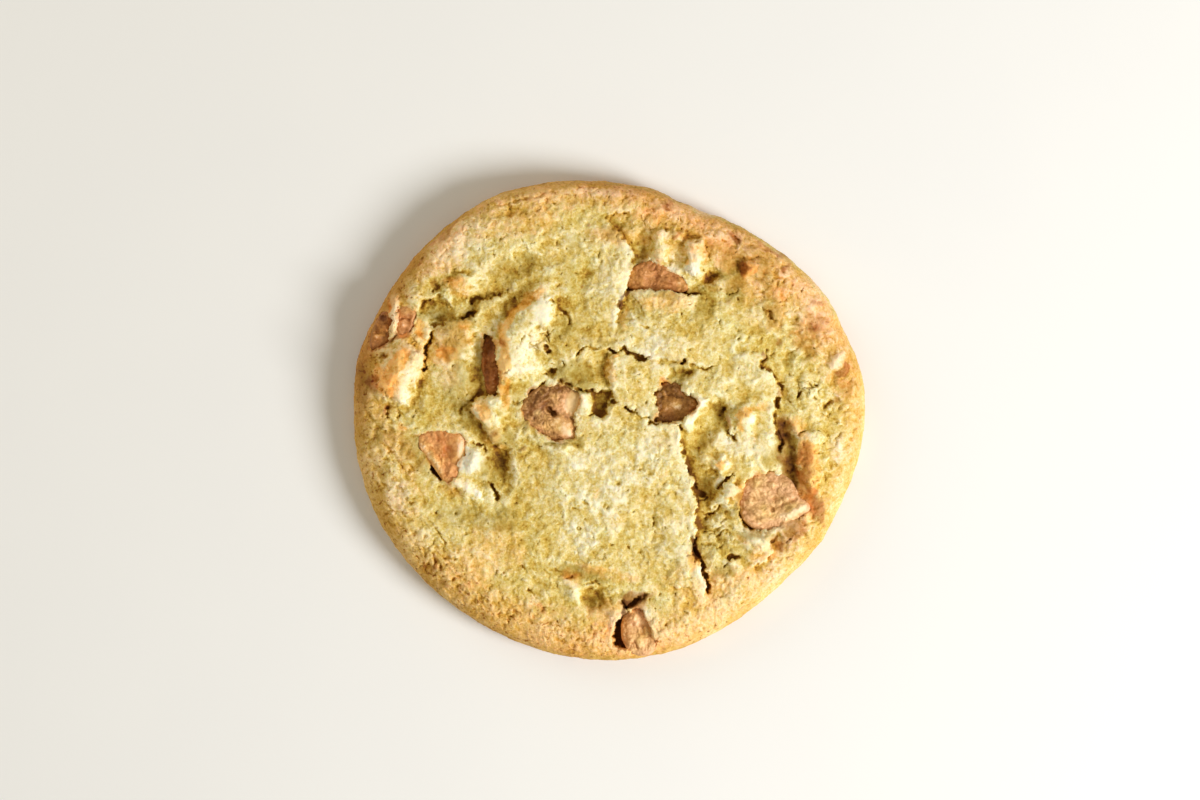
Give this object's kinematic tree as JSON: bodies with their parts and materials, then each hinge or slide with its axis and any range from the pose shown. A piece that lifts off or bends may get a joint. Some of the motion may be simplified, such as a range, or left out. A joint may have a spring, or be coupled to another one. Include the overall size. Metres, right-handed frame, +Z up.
{
  "type": "peanut butter cookie",
  "caption": "Thick round baked cookie with a browned rim, a cracked and crumbly pale top and soft baking chips sunk into it; it lies flat.",
  "frame": {"origin": "on the table, under the middle of the cookie's outline", "axes": "+X along the cookie's longer way, +Z up out of its top"},
  "size_m": [0.0935, 0.0878, 0.0125],
  "materials": {
    "dough": "baked dough, matt and grainy, browner on the rim",
    "chip_light": "soft peanut butter chip, satin",
    "chip_dark": "darker chip in a hollow, satin"
  },
  "bodies": {
    "root": {"cookie_dough": "dough", "chip_upper": "chip_light", "chip_rim_outer": "chip_light", "chip_rim_inner": "chip_light", "chip_under_ridge": "chip_dark", "chip_left_middle": "chip_light", "chip_middle": "chip_dark", "chip_left_low": "chip_light", "chip_right": "chip_light", "chip_bottom": "chip_light"}
  },
  "joints": []
}
